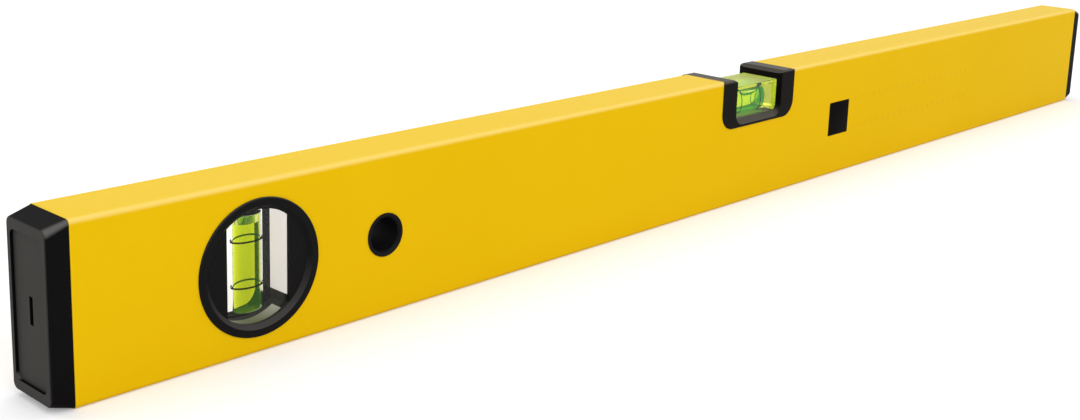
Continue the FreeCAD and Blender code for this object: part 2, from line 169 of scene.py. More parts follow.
def make_world():
    """White for what looks at it, and an even ambient level for what is lit by it."""
    world = bpy.data.worlds.new("studio")
    world.use_nodes = True
    tree = world.node_tree
    background = tree.nodes["Background"]
    background.inputs["Color"].default_value = (1, 1, 1, 1)
    strength = tree.nodes.new("ShaderNodeMapRange")
    strength.inputs["To Min"].default_value = ambient_level
    strength.inputs["To Max"].default_value = 1
    tree.links.new(background_rays(tree), strength.inputs["Value"])
    tree.links.new(strength.outputs["Result"], background.inputs["Strength"])
    bpy.context.scene.world = world


def make_floor():
    """A pale sheet that keeps the level's shadow."""
    material = bpy.data.materials.new("studio_floor")
    material.use_nodes = True
    tree = material.node_tree
    shader = tree.nodes["Principled BSDF"]
    shader.inputs["Base Color"].default_value = (floor_tone, floor_tone, floor_tone, 1)
    shader.inputs["Roughness"].default_value = floor_roughness
    shader.inputs["Specular IOR Level"].default_value = floor_shine
    shader.inputs["Emission Color"].default_value = (1, 1, 1, 1)
    lift = tree.nodes.new("ShaderNodeMath")
    lift.operation = "MULTIPLY"
    lift.inputs[1].default_value = floor_lift
    tree.links.new(background_rays(tree), lift.inputs[0])
    tree.links.new(lift.outputs[0], shader.inputs["Emission Strength"])
    shape = bmesh.new()
    bmesh.ops.create_grid(shape, x_segments=1, y_segments=1, size=floor_size / 2)
    mesh = bpy.data.meshes.new("studio_floor")
    shape.to_mesh(mesh)
    shape.free()
    floor = bpy.data.objects.new("studio_floor", mesh)
    bpy.context.scene.collection.objects.link(floor)
    floor.location.z = -floor_drop
    finish_with(floor, material)


def softbox(name, place, size, power):
    """A square soft lamp that faces the middle of the level's base."""
    lamp_data = bpy.data.lights.new(name, "AREA")
    lamp_data.shape = "SQUARE"
    lamp_data.size = size
    lamp_data.energy = power
    lamp = bpy.data.objects.new(name, lamp_data)
    bpy.context.scene.collection.objects.link(lamp)
    lamp.location = place
    lamp.rotation_mode = "QUATERNION"
    lamp.rotation_quaternion = (-Vector(place)).to_track_quat("-Z", "Y")


make_world()
make_floor()
softbox("front_lamp", place=(-0.35, -1.6, 1.3), size=1.2, power=14.2)
softbox("overhead_lamp", place=(0.2, 0.3, 1.8), size=1.4, power=9)
softbox("rear_lamp", place=(-1.4, 1.3, 0.9), size=1.2, power=7)
bpy.context.scene.view_settings.view_transform = "Standard"
print("studio ready")

# %% [markdown]
# ## Groups for the small marks of making and handling, and for painted light
#
# No made surface is even. A powder coat has a faint orange peel, moulded plastic has the fine
# sparked texture of its mould, and every surface that is handled has patches that shine a little
# more. Edges are lighter from wear and from a painted highlight. Painted light goes on what faces
# up, on end faces and on the shoulder between top and sides, where it stands in for how light
# falls. Four node groups hold these effects. Each has named inputs, so that a finish can place it
# with its own sizes, and each puts out only heights and masks.

# %% Grain, handling, edge and facing groups
def new_group(name, inputs, outputs):
    """An empty shader group with named number sockets."""
    group = bpy.data.node_groups.new(name, "ShaderNodeTree")
    for label, value in inputs.items():
        socket = group.interface.new_socket(label, in_out="INPUT", socket_type="NodeSocketFloat")
        socket.default_value = value
    for label in outputs:
        group.interface.new_socket(label, in_out="OUTPUT", socket_type="NodeSocketFloat")
    return group, group.nodes.new("NodeGroupInput"), group.nodes.new("NodeGroupOutput")


def add_math(tree, operation, first, second=None):
    """A math node. Each input is a socket or a number."""
    node = tree.nodes.new("ShaderNodeMath")
    node.operation = operation
    for index, value in enumerate((first, second)):
        if isinstance(value, (int, float)):
            node.inputs[index].default_value = value
        elif value is not None:
            tree.links.new(value, node.inputs[index])
    return node.outputs[0]


def add_noise(tree, size, detail=2.0, roughness=0.5):
    """Noise in the object's own space, with features of about a size in metres."""
    place = tree.nodes.new("ShaderNodeTexCoord")
    noise = tree.nodes.new("ShaderNodeTexNoise")
    noise.inputs["Detail"].default_value = detail
    noise.inputs["Roughness"].default_value = roughness
    tree.links.new(place.outputs["Object"], noise.inputs["Vector"])
    tree.links.new(add_math(tree, "DIVIDE", 1.0, size), noise.inputs["Scale"])
    return noise.outputs["Fac"]


def make_grain_group():
    """Two sizes of fine relief, as a height in metres."""
    inputs = {
        "Wave Size": 1.2 * MM,
        "Wave Depth": 0.01 * MM,
        "Grain Size": 0.2 * MM,
        "Grain Depth": 0.002 * MM,
    }
    group, given, result = new_group("surface_grain", inputs, ("Height",))
    wave = add_noise(group, given.outputs["Wave Size"])
    grain = add_noise(group, given.outputs["Grain Size"])
    wave_height = add_math(group, "MULTIPLY", wave, given.outputs["Wave Depth"])
    grain_height = add_math(group, "MULTIPLY", grain, given.outputs["Grain Depth"])
    group.links.new(add_math(group, "ADD", wave_height, grain_height), result.inputs["Height"])
    return group


def make_handling_group():
    """Broad soft patches where hands have polished the surface, from 0 to 1."""
    inputs = {"Patch Size": 35 * MM, "Contrast": 1.0}
    group, given, result = new_group("handling", inputs, ("Mask",))
    patches = add_noise(group, given.outputs["Patch Size"], detail=4.0, roughness=0.6)
    centred = add_math(group, "SUBTRACT", patches, 0.5)
    scaled = add_math(group, "MULTIPLY", centred, given.outputs["Contrast"])
    shifted = add_math(group, "ADD", scaled, 0.5)
    group.links.new(shifted, result.inputs["Mask"])
    return group


def make_edge_group():
    """Where the surface turns within a width, broken up by noise, from 0 to 1: wear and a painted
    highlight.
    """
    inputs = {"Width": 0.4 * MM, "Reach": 4.0, "Breakup Size": 0.8 * MM}
    group, given, result = new_group("wear_and_painted_highlight_edges", inputs, ("Mask",))
    bevel = group.nodes.new("ShaderNodeBevel")
    bevel.samples = 4
    group.links.new(given.outputs["Width"], bevel.inputs["Radius"])
    surface = group.nodes.new("ShaderNodeNewGeometry")
    alike = group.nodes.new("ShaderNodeVectorMath")
    alike.operation = "DOT_PRODUCT"
    group.links.new(bevel.outputs["Normal"], alike.inputs[0])
    group.links.new(surface.outputs["Normal"], alike.inputs[1])
    turned = add_math(group, "SUBTRACT", 1.0, alike.outputs["Value"])
    strong = add_math(group, "MULTIPLY", turned, given.outputs["Reach"])
    broken = add_math(group, "MULTIPLY", strong, add_noise(group, given.outputs["Breakup Size"]))
    kept = add_math(group, "MINIMUM", broken, 1.0)
    group.links.new(add_math(group, "MAXIMUM", kept, 0.0), result.inputs["Mask"])
    return group


def make_facing_group():
    """How squarely a surface faces up, endways, or half up and half out, from 0 to 1, for painted
    light.
    """
    group, given, result = new_group("facing", {"Start": 0.5}, ("Up", "End", "Shoulder"))
    place = group.nodes.new("ShaderNodeTexCoord")
    parts = group.nodes.new("ShaderNodeSeparateXYZ")
    group.links.new(place.outputs["Normal"], parts.inputs[0])
    endways = add_math(group, "ABSOLUTE", parts.outputs["X"])
    for label, value in (("Up", parts.outputs["Z"]), ("End", endways)):
        ramp = group.nodes.new("ShaderNodeMapRange")
        group.links.new(value, ramp.inputs["Value"])
        group.links.new(given.outputs["Start"], ramp.inputs["From Min"])
        group.links.new(ramp.outputs["Result"], result.inputs[label])
    outward = add_math(group, "ABSOLUTE", parts.outputs["Y"])
    raised = add_math(group, "MAXIMUM", parts.outputs["Z"], 0.0)
    half_way = add_math(group, "MULTIPLY", add_math(group, "MULTIPLY", outward, raised), 2.0)
    group.links.new(half_way, result.inputs["Shoulder"])
    return group


grain_group = make_grain_group()
handling_group = make_handling_group()
edge_group = make_edge_group()
facing_group = make_facing_group()
print("groups:", [group.name for group in (grain_group, handling_group, edge_group, facing_group)])

# %% [markdown]
# ## Opaque finishes
#
# The yellow coat, the black mouldings, the pale carrier, the steel pins, the cast bed under the
# level vial, whose green is painted light from the vial, and the printed ink are one kind of surface
# with other values: a base colour that varies a little, a roughness that follows the handling
# patches, a relief and an edge that is lighter from wear and from a painted highlight. Some have a
# painted top, lighter on most and darker on the carrier, a lighter painted end face, or a painted
# highlight on the rounded shoulder between the top and the sides. One function builds such a
# finish, and each finish below only states how it differs.

# %% Opaque finish
patch_contrast = 1.6
facing_start = 0.5
up_coat_roughness = 0.35


def grain_sizes(wave, wave_depth, grain, grain_depth):
    """The values of the grain group, from sizes in millimetres."""
    return {
        "Wave Size": wave * MM,
        "Wave Depth": wave_depth * MM,
        "Grain Size": grain * MM,
        "Grain Depth": grain_depth * MM,
    }


def edge_sizes(width, reach, breakup):
    """The values of the edge group, with its sizes in millimetres."""
    return {"Width": width * MM, "Reach": reach, "Breakup Size": breakup * MM}


def place_group(tree, group, values):
    """Puts a group in a material with its own values."""
    node = tree.nodes.new("ShaderNodeGroup")
    node.node_tree = group
    for label, value in values.items():
        node.inputs[label].default_value = value
    return node


def add_relief(tree, shader, sizes):
    """Gives a shader the relief of the grain group."""
    relief = place_group(tree, grain_group, sizes)
    bump = tree.nodes.new("ShaderNodeBump")
    bump.inputs["Strength"].default_value = 1
    bump.inputs["Distance"].default_value = 1
    tree.links.new(relief.outputs["Height"], bump.inputs["Height"])
    tree.links.new(bump.outputs["Normal"], shader.inputs["Normal"])


def blend_colours(tree, share, first, second):
    """A colour between two others. Each is a socket or three numbers."""
    mix = tree.nodes.new("ShaderNodeMix")
    mix.data_type = "RGBA"
    tree.links.new(share, mix.inputs["Factor"])
    for label, value in (("A", first), ("B", second)):
        socket = [entry for entry in mix.inputs if entry.name == label and entry.type == "RGBA"][0]
        if isinstance(value, tuple):
            socket.default_value = (*value, 1)
        else:
            tree.links.new(value, socket)
    return [entry for entry in mix.outputs if entry.type == "RGBA"][0]


def blend_numbers(tree, share, first, second):
    """A number between two others."""
    span = add_math(tree, "MULTIPLY", share, second - first)
    return add_math(tree, "ADD", span, first)


def opaque_finish(name, colour, other_colour, edge_tint_wear_and_highlight, rough, other_rough, shine, grain, edge,
                  patch_size, metal=0, up_painted_light_colour=None, end_painted_light_colour=None, shoulder_painted_highlight_colour=None,
                  up_coat=0):
    """A coated, moulded or metal surface: grain, handling patches, edge wear, painted highlights and
    painted light.
    """
    material = bpy.data.materials.new(name)
    material.use_nodes = True
    tree = material.node_tree
    shader = tree.nodes["Principled BSDF"]
    patches = place_group(
        tree, handling_group, {"Patch Size": patch_size, "Contrast": patch_contrast}
    )
    edges = place_group(tree, edge_group, edge)
    facing = place_group(tree, facing_group, {"Start": facing_start})
    toned = blend_colours(tree, patches.outputs["Mask"], colour, other_colour)
    # Painted light: a lighter top or end face, a darker top on the carrier, and a painted highlight on
    # the shoulder.
    for side, side_painted_light in (("Up", up_painted_light_colour), ("End", end_painted_light_colour), ("Shoulder", shoulder_painted_highlight_colour)):
        if side_painted_light:
            toned = blend_colours(tree, facing.outputs[side], toned, side_painted_light)
    if up_coat:
        coat = add_math(tree, "MULTIPLY", facing.outputs["Up"], up_coat)
        tree.links.new(coat, shader.inputs["Coat Weight"])
        shader.inputs["Coat Roughness"].default_value = up_coat_roughness
    # The lighter edge tint is partly wear and partly a painted highlight.
    worn_and_highlit = blend_colours(tree, edges.outputs["Mask"], toned, edge_tint_wear_and_highlight)
    tree.links.new(worn_and_highlit, shader.inputs["Base Color"])
    roughness = blend_numbers(tree, patches.outputs["Mask"], rough, other_rough)
    tree.links.new(roughness, shader.inputs["Roughness"])
    add_relief(tree, shader, grain)
    shader.inputs["Specular IOR Level"].default_value = shine
    shader.inputs["Metallic"].default_value = metal
    return material


vial_grain = grain_sizes(wave=0.8, wave_depth=0.003, grain=0.18, grain_depth=0.004)
vial_edge = edge_sizes(width=0.25, reach=3.0, breakup=0.7)

yellow_coat = opaque_finish(
    "yellow_coat",
    colour=(0.83, 0.515, 0.003),
    other_colour=(0.80, 0.49, 0.002),
    edge_tint_wear_and_highlight=(0.88, 0.60, 0.05),
    rough=0.38,
    other_rough=0.46,
    shine=0.015,
    grain=grain_sizes(wave=1.3, wave_depth=0.006, grain=0.25, grain_depth=0.0015),
    edge=edge_sizes(width=0.5, reach=2.0, breakup=1.5),
    patch_size=60 * MM,
    # Painted light makes the top face lighter, and a painted highlight lies on the shoulder.
    up_painted_light_colour=(0.84, 0.555, 0.003),
    shoulder_painted_highlight_colour=(0.92, 0.66, 0.15),
    up_coat=0.25,
)
black_cap = opaque_finish(
    "black_cap",
    colour=(0.004, 0.0037, 0.004),
    other_colour=(0.006, 0.0055, 0.0058),
    edge_tint_wear_and_highlight=(0.04, 0.039, 0.038),
    rough=0.42,
    other_rough=0.52,
    shine=0.02,
    grain=grain_sizes(wave=0.9, wave_depth=0.004, grain=0.22, grain_depth=0.006),
    edge=edge_sizes(width=0.35, reach=3.0, breakup=0.9),
    patch_size=18 * MM,
    # Painted light makes the end face lighter, and a painted highlight lies on the shoulder.
    end_painted_light_colour=(0.053, 0.049, 0.045),
    shoulder_painted_highlight_colour=(0.12, 0.115, 0.11),
)
black_vial_housing = opaque_finish(
    "black_vial_housing",
    colour=(0.0055, 0.005, 0.0058),
    other_colour=(0.008, 0.0075, 0.008),
    edge_tint_wear_and_highlight=(0.03, 0.028, 0.028),
    rough=0.36,
    other_rough=0.46,
    shine=0.04,
    grain=vial_grain,
    edge=vial_edge,
    patch_size=12 * MM,
    # Painted light on the top, and a painted highlight on the shoulder.
    up_painted_light_colour=(0.032, 0.030, 0.029),
    shoulder_painted_highlight_colour=(0.055, 0.051, 0.049),
)
black_frame = opaque_finish(
    "black_frame",
    colour=(0.0045, 0.0035, 0.003),
    other_colour=(0.007, 0.0055, 0.005),
    edge_tint_wear_and_highlight=(0.03, 0.027, 0.024),
    rough=0.36,
    other_rough=0.46,
    shine=0.03,
    grain=vial_grain,
    edge=vial_edge,
    patch_size=12 * MM,
    # Painted light on the top, and a painted highlight on the shoulder.
    up_painted_light_colour=(0.085, 0.077, 0.062),
    shoulder_painted_highlight_colour=(0.085, 0.078, 0.066),
)
matt_black_rear = opaque_finish(
    "matt_black_rear",
    colour=(0.005, 0.0045, 0.005),
    other_colour=(0.007, 0.0065, 0.007),
    edge_tint_wear_and_highlight=(0.02, 0.019, 0.02),
    rough=0.55,
    other_rough=0.65,
    shine=0.008,
    grain=vial_grain,
    edge=vial_edge,
    patch_size=12 * MM,
)
black_bush = opaque_finish(
    "black_bush",
    colour=(0.0055, 0.005, 0.0065),
    other_colour=(0.008, 0.0075, 0.009),
    edge_tint_wear_and_highlight=(0.03, 0.028, 0.03),
    rough=0.36,
    other_rough=0.46,
    shine=0.05,
    grain=vial_grain,
    edge=vial_edge,
    patch_size=12 * MM,
)
pale_carrier = opaque_finish(
    "pale_carrier",
    colour=(0.86, 0.80, 0.84),
    other_colour=(0.82, 0.76, 0.80),
    edge_tint_wear_and_highlight=(0.88, 0.85, 0.84),
    rough=0.50,
    other_rough=0.60,
    shine=0.03,
    grain=grain_sizes(wave=0.8, wave_depth=0.003, grain=0.2, grain_depth=0.004),
    edge=edge_sizes(width=0.2, reach=2.0, breakup=0.7),
    patch_size=10 * MM,
    # Painted shade on what faces up, tinted olive by the vial's green.
    up_painted_light_colour=(0.12, 0.13, 0.07),
)
steel_pin = opaque_finish(
    "steel_pin",
    colour=(0.56, 0.56, 0.57),
    other_colour=(0.50, 0.50, 0.51),
    edge_tint_wear_and_highlight=(0.72, 0.72, 0.72),
    rough=0.28,
    other_rough=0.38,
    shine=0.5,
    metal=1,
    grain=grain_sizes(wave=0.5, wave_depth=0.001, grain=0.08, grain_depth=0.001),
    edge=edge_sizes(width=0.1, reach=2.0, breakup=0.3),
    patch_size=4 * MM,
)
# The bed's bright green is painted light, standing in for the light that passes through the vial's
# fluid.
bed_resin_painted_light = opaque_finish(
    "bed_resin_painted_light",
    colour=(0.17, 0.50, 0.01),
    other_colour=(0.20, 0.56, 0.02),
    edge_tint_wear_and_highlight=(0.26, 0.60, 0.06),
    rough=0.35,
    other_rough=0.5,
    shine=0.05,
    grain=grain_sizes(wave=1.5, wave_depth=0.02, grain=0.3, grain_depth=0.003),
    edge=edge_sizes(width=0.1, reach=1.0, breakup=0.5),
    patch_size=4 * MM,
)
faded_ink = opaque_finish(
    "faded_ink",
    colour=(0.62, 0.40, 0.02),
    other_colour=(0.50, 0.32, 0.02),
    edge_tint_wear_and_highlight=(0.70, 0.46, 0.03),
    rough=0.45,
    other_rough=0.55,
    shine=0.1,
    grain=grain_sizes(wave=1.3, wave_depth=0.003, grain=0.12, grain_depth=0.001),
    edge=edge_sizes(width=0.05, reach=1.0, breakup=0.3),
    patch_size=6 * MM,
)
black_ink = opaque_finish(
    "black_ink",
    colour=(0.004, 0.0035, 0.004),
    other_colour=(0.006, 0.0055, 0.0055),
    edge_tint_wear_and_highlight=(0.03, 0.025, 0.015),
    rough=0.5,
    other_rough=0.6,
    shine=0.012,
    grain=grain_sizes(wave=1.3, wave_depth=0.004, grain=0.1, grain_depth=0.001),
    edge=edge_sizes(width=0.05, reach=1.0, breakup=0.3),
    patch_size=5 * MM,
)
print("opaque finishes:", yellow_coat.name, black_cap.name, black_vial_housing.name, pale_carrier.name)

# %% [markdown]
# ## The carrier's painted glow and its painted shade
#
# The pale carrier has a painted glow, so its walls look brighter than their light alone would make
# them. In the lower half, painted shade darkens the carrier round the clear block's round seat, in
# its rear part and beside the walls. Both follow from where a point lies: its distance from the
# unit's axis, its height and its depth.

# %% Painted glow and painted shade of the carrier
seat_radius = 15.0 * MM
seat_front = 0.5 * MM
seat_side = 8.7 * MM
seat_softness = 0.2 * MM
seat_middle_softness = 1.0 * MM
# The seat colour is painted shade, and the carrier's emission strength is a painted glow.
seat_painted_shade_colour = (0.006, 0.006, 0.005)
carrier_painted_glow = 0.50


def step_above(tree, value, limit, softness):
    """A mask that turns from 0 to 1 round a limit."""
    ramp = tree.nodes.new("ShaderNodeMapRange")
    tree.links.new(value, ramp.inputs["Value"])
    ramp.inputs["From Min"].default_value = limit - softness / 2
    ramp.inputs["From Max"].default_value = limit + softness / 2
    return ramp.outputs["Result"]


def paint_seat_shade(material, node_name):
    """Paints shade on a material round the rear seat, and gives it a painted glow elsewhere."""
    low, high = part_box(node_name)
    tree = material.node_tree
    shader = tree.nodes["Principled BSDF"]
    place = tree.nodes.new("ShaderNodeTexCoord")
    parts = tree.nodes.new("ShaderNodeSeparateXYZ")
    tree.links.new(place.outputs["Object"], parts.inputs[0])
    across = add_math(tree, "SUBTRACT", parts.outputs["X"], (low.x + high.x) / 2)
    upward = add_math(tree, "SUBTRACT", parts.outputs["Z"], (low.z + high.z) / 2)
    across_squared = add_math(tree, "POWER", across, 2.0)
    upward_squared = add_math(tree, "POWER", upward, 2.0)
    squared = add_math(tree, "ADD", across_squared, upward_squared)
    outside = step_above(tree, add_math(tree, "SQRT", squared), seat_radius, seat_softness)
    behind = step_above(tree, parts.outputs["Y"], seat_front, seat_softness)
    beside = step_above(tree, add_math(tree, "ABSOLUTE", across), seat_side, seat_softness)
    downward = add_math(tree, "MULTIPLY", upward, -1.0)
    below = step_above(tree, downward, 0.0, seat_middle_softness)
    seat = add_math(tree, "MULTIPLY", outside, add_math(tree, "MAXIMUM", behind, beside))
    seat = add_math(tree, "MULTIPLY", seat, below)
    pale = shader.inputs["Base Color"].links[0].from_socket
    # Painted shade in the seat, and a painted glow of the same colour elsewhere.
    seated = blend_colours(tree, seat, pale, seat_painted_shade_colour)
    tree.links.new(seated, shader.inputs["Base Color"])
    tree.links.new(seated, shader.inputs["Emission Color"])
    shader.inputs["Emission Strength"].default_value = carrier_painted_glow


paint_seat_shade(pale_carrier, "plumb_carrier")
print("seat from", round(seat_radius / MM, 1), "mm out")

# %% [markdown]
# ## Clear finishes
#
# Acrylic bends light by 1.49 against air. The vial fluid is thinner, so that light which passes
# from the acrylic into the fluid bends the other way, and the surface between them has the ratio
# of the two numbers. The same holds for the gas in the fluid. A plug is bonded in, so that light
# hardly bends on its way in. The fluid's dye swallows blue on the way through, which an absorbing
# volume shows, and a weak emission gives it a painted glow. The level vial's block is dyed as well
# and has the same painted glow. Its top face is matt from the mould, and a brighter painted glow
# on it stands in for the light there. The plumb vial's plug and gas absorb strongly as painted
# shade. The mirror value is the share of the studio's white that a front face throws back.

# %% Clear finish
acrylic_index = 1.49
fluid_index = 1.36
plug_index = 1.03
solid_rough = 0.01
fluid_rough = 0.005
top_facing_start = 0.6
top_matt = 0.45
clear_patch_size = 6 * MM
clear_patch_contrast = 2.0
clear_relief = grain_sizes(wave=3, wave_depth=0.004, grain=0.4, grain_depth=0.0002)


def clear_finish(name, index, rough, absorbed_per_metre, glow=None, top_glow=None, mirror=1):
    """Glass-like: a surface that bends light, a volume that takes some of its colour, and any painted
    glow.
    """
    material = bpy.data.materials.new(name)
    material.use_nodes = True
    tree = material.node_tree
    shader = tree.nodes["Principled BSDF"]
    shader.inputs["Base Color"].default_value = (1, 1, 1, 1)
    shader.inputs["Transmission Weight"].default_value = 1
    shader.inputs["IOR"].default_value = index
    shader.inputs["Specular Tint"].default_value = (mirror, mirror, mirror, 1)
    # The emission is a painted glow.
    if glow:
        shader.inputs["Emission Color"].default_value = (*glow, 1)
        shader.inputs["Emission Strength"].default_value = 1
    patches = place_group(
        tree, handling_group, {"Patch Size": clear_patch_size, "Contrast": clear_patch_contrast}
    )
    roughness = blend_numbers(tree, patches.outputs["Mask"], rough, rough * 2)
    # A brighter painted glow on what faces up.
    if top_glow:
        facing = place_group(tree, facing_group, {"Start": top_facing_start})
        lit = blend_colours(tree, facing.outputs["Up"], glow, top_glow)
        tree.links.new(lit, shader.inputs["Emission Color"])
        matt = add_math(tree, "MULTIPLY", facing.outputs["Up"], top_matt)
        roughness = add_math(tree, "ADD", roughness, matt)
    tree.links.new(roughness, shader.inputs["Roughness"])
    add_relief(tree, shader, clear_relief)
    densest = max(absorbed_per_metre)
    if densest > 0:
        volume = tree.nodes.new("ShaderNodeVolumeAbsorption")
        kept = [1 - amount / densest for amount in absorbed_per_metre]
        volume.inputs["Color"].default_value = (*kept, 1)
        volume.inputs["Density"].default_value = densest
        output = tree.nodes["Material Output"]
        tree.links.new(volume.outputs["Volume"], output.inputs["Volume"])
    return material


clear_acrylic = clear_finish(
    "clear_acrylic", acrylic_index, solid_rough, absorbed_per_metre=(1, 1, 4), mirror=0.3
)
# Its glow and its brighter top glow are painted light.
dyed_acrylic_painted_glow = clear_finish(
    "dyed_acrylic_painted_glow", acrylic_index, solid_rough, absorbed_per_metre=(32, 29, 170),
    glow=(0.002, 0.012, 0.0), top_glow=(0.35, 0.36, 0.06), mirror=0.6
)
# The plug's strong absorption is painted shade.
painted_shade_plug = clear_finish(
    "painted_shade_plug", plug_index, solid_rough, absorbed_per_metre=(230, 210, 260)
)
plug_acrylic = clear_finish(
    "plug_acrylic", plug_index, solid_rough, absorbed_per_metre=(38, 37, 22)
)
# The fluid's emission is a painted glow.
green_fluid = clear_finish(
    "green_fluid", fluid_index / acrylic_index, fluid_rough, absorbed_per_metre=(95, 85, 700),
    glow=(0.008, 0.045, 0.003)
)
# The fluid's emission is a painted glow.
level_green_fluid = clear_finish(
    "level_green_fluid", fluid_index / acrylic_index, fluid_rough, absorbed_per_metre=(8, 0, 180),
    glow=(0.0, 0.10, 0.0)
)
# The gas's strong absorption is painted shade.
shaded_gas = clear_finish(
    "shaded_gas", 1 / fluid_index, fluid_rough, absorbed_per_metre=(150, 70, 250)
)
gas = clear_finish(
    "gas", 1 / fluid_index, fluid_rough, absorbed_per_metre=(0, 0, 0)
)
print("clear finishes:", clear_acrylic.name, dyed_acrylic_painted_glow.name, green_fluid.name, gas.name)

# %% [markdown]
# ## Finishes for the pieces that keep their CAD shape
#
# The beam, the caps, the bezels, the bushes, the frame and the pins are already the right shape.
# They only swap the plain colour that came with the model for their finish.

# %% Finish the CAD pieces
finish_of_node = {
    "profile": yellow_coat,
    "end_cap_left": black_cap,
    "end_cap_right": black_cap,
    "plumb_bezel_front": black_vial_housing,
    "plumb_bezel_rear": matt_black_rear,
    "plumb_carrier": pale_carrier,
    "plumb_mounting_pins": steel_pin,
    "plumb_vial_lines": black_ink,
    "hang_hole_bush_front": black_bush,
    "hang_hole_bush_rear": black_bush,
    "level_frame": black_frame,
    "level_mounting_pins": steel_pin,
    "level_resin_bed": bed_resin_painted_light,
    "level_vial_lines": black_ink,
}
for node_name, material in finish_of_node.items():
    finish_with(nodes[node_name], material)
print(len(finish_of_node), "CAD pieces finished")

# %% [markdown]
# ## Round clear pieces
#
# A vial's bore is turned, so its surface is a profile swept round an axis. The bore bulges in the
# middle by one or two tenths of a millimetre, which is what makes the bubble settle there. A lathe
# function sweeps a profile of distances along and out from the axis.

# %% Lathe
ALONG = Vector((1, 0, 0))
BACK = Vector((0, 1, 0))
UP = Vector((0, 0, 1))
TURN_STEPS = 96
ROUND_STEPS = 8
WALL_STEPS = 16
merge_distance = 0.001 * MM


def lathe(profile, centre, axis, outward):
    """A closed bmesh from (along, out) points swept round an axis."""
    shape = bmesh.new()
    points = [shape.verts.new(centre + axis * along + outward * out) for along, out in profile]
    edges = [shape.edges.new(pair) for pair in zip(points, points[1:])]
    bmesh.ops.spin(shape, geom=points + edges, cent=centre, axis=axis, angle=2 * pi,
                   steps=TURN_STEPS, use_merge=True)
    bmesh.ops.remove_doubles(shape, verts=shape.verts, dist=merge_distance)
    return shape


def quarter_round(centre_along, centre_out, radius, start, end):
    """Points on an arc, between two angles from the axis direction."""
    points = []
    for step in range(ROUND_STEPS + 1):
        angle = start + (end - start) * step / ROUND_STEPS
        points.append((centre_along + radius * cos(angle), centre_out + radius * sin(angle)))
    return points


def barrel_profile(half_length, middle_radius, bulge, low_round, high_round):
    """The outline of a bore that bulges in the middle and has rounded ends."""
    end_radius = middle_radius - bulge
    wall_half = half_length - max(low_round, high_round)
    profile = [(-half_length, 0)]
    low_inner = end_radius - low_round
    profile += quarter_round(low_round - half_length, low_inner, low_round, pi, pi / 2)
    for step in range(1, WALL_STEPS):
        along = wall_half * (2 * step / WALL_STEPS - 1)
        profile.append((along, middle_radius - bulge * (along / wall_half) ** 2))
    high_inner = end_radius - high_round
    profile += quarter_round(half_length - high_round, high_inner, high_round, pi / 2, 0)
    profile.append((half_length, 0))
    return profile


def plug_profile(half_length, radius, edge_round):
    """The outline of a plug with rounded edges."""
    profile = [(-half_length, 0)]
    inner = radius - edge_round
    profile += quarter_round(edge_round - half_length, inner, edge_round, pi, pi / 2)
    profile += quarter_round(half_length - edge_round, inner, edge_round, pi / 2, 0)
    profile.append((half_length, 0))
    return profile


print("one turn in", TURN_STEPS, "steps")

# %% [markdown]
# ## The plumb vial
#
# The upright vial is a tube in a clear block, and the block fills the window of the plumb unit. Tube
# and block are bonded, so no surface shows between them, and one clear piece stands for both. It
# is a round slab with flat sides. The bond also wets the pale carrier, which the slab therefore
# enters by a hair, so that no mirror of air lies between them. The fluid fills the bore up to
# the plug, and the gas is a closed shape inside the fluid, wherever it moves. The fluid is drawn
# almost as wide as the tube, because light that skims the bore's wall is thrown back by it, which
# makes the fluid look narrower.

# %% Block and tube, fluid, gas and plug of the plumb vial
slab_low, slab_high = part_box("plumb_vial_block")
bore_low, bore_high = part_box("plumb_fluid")
plug_low, plug_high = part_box("plumb_vial_plug")
gas_low, gas_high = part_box("plumb_bubble")
tube_axis = Vector(((bore_low.x + bore_high.x) / 2, (bore_low.y + bore_high.y) / 2, 0))
bore_widening = 0.3 * MM
bore_radius = (bore_high.x - bore_low.x) / 2 + bore_widening
bore_bulge = 0.15 * MM
bore_foot_round = 0.6 * MM
bond_depth = 0.02 * MM
face_gap = 0.01 * MM
seat_gap = 0.02 * MM
plug_edge_round = 0.3 * MM
bore_top_round = 0.05 * MM
gas_top_round = 0.5 * MM
gas_sharp_angle = 50
meniscus = 0.15 * MM
ARC_STEPS = 40


def slab_outline():
    """A circle with flat sides, in the plane of the faces."""
    half_width = (slab_high.x - slab_low.x) / 2 + bond_depth
    radius = (slab_high.z - slab_low.z) / 2 + bond_depth
    centre = (slab_low + slab_high) / 2
    reach = asin(half_width / radius)
    points = []
    for side in (1, -1):
        for step in range(ARC_STEPS + 1):
            angle = side * (reach - 2 * reach * step / ARC_STEPS)
            points.append((centre.x + radius * sin(angle), centre.z + side * radius * cos(angle)))
    return points


def make_plumb_block():
    """The clear slab with the tube's clear wall in it."""
    shape = bmesh.new()
    front = [shape.verts.new((x, slab_low.y + face_gap, z)) for x, z in slab_outline()]
    face = shape.faces.new(front)
    grown = bmesh.ops.extrude_face_region(shape, geom=[face])["geom"]
    back = [entry for entry in grown if isinstance(entry, bmesh.types.BMVert)]
    bmesh.ops.translate(shape, verts=back, vec=BACK * (slab_high.y - slab_low.y - 2 * face_gap))
    piece = new_piece("plumb_vial_clear_block", shape, clear_acrylic)
    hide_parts("plumb_vial_block", "plumb_vial_tube")


def make_plumb_fluid():
    """The fluid, as the whole bore up to the plug."""
    top = plug_low.z - seat_gap
    half = (top - bore_low.z) / 2
    profile = barrel_profile(half, bore_radius, bore_bulge, bore_foot_round, bore_top_round)
    shape = lathe(profile, tube_axis + UP * (top + bore_low.z) / 2, UP, BACK)
    piece = new_piece("plumb_vial_fluid", shape, green_fluid)
    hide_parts("plumb_fluid")


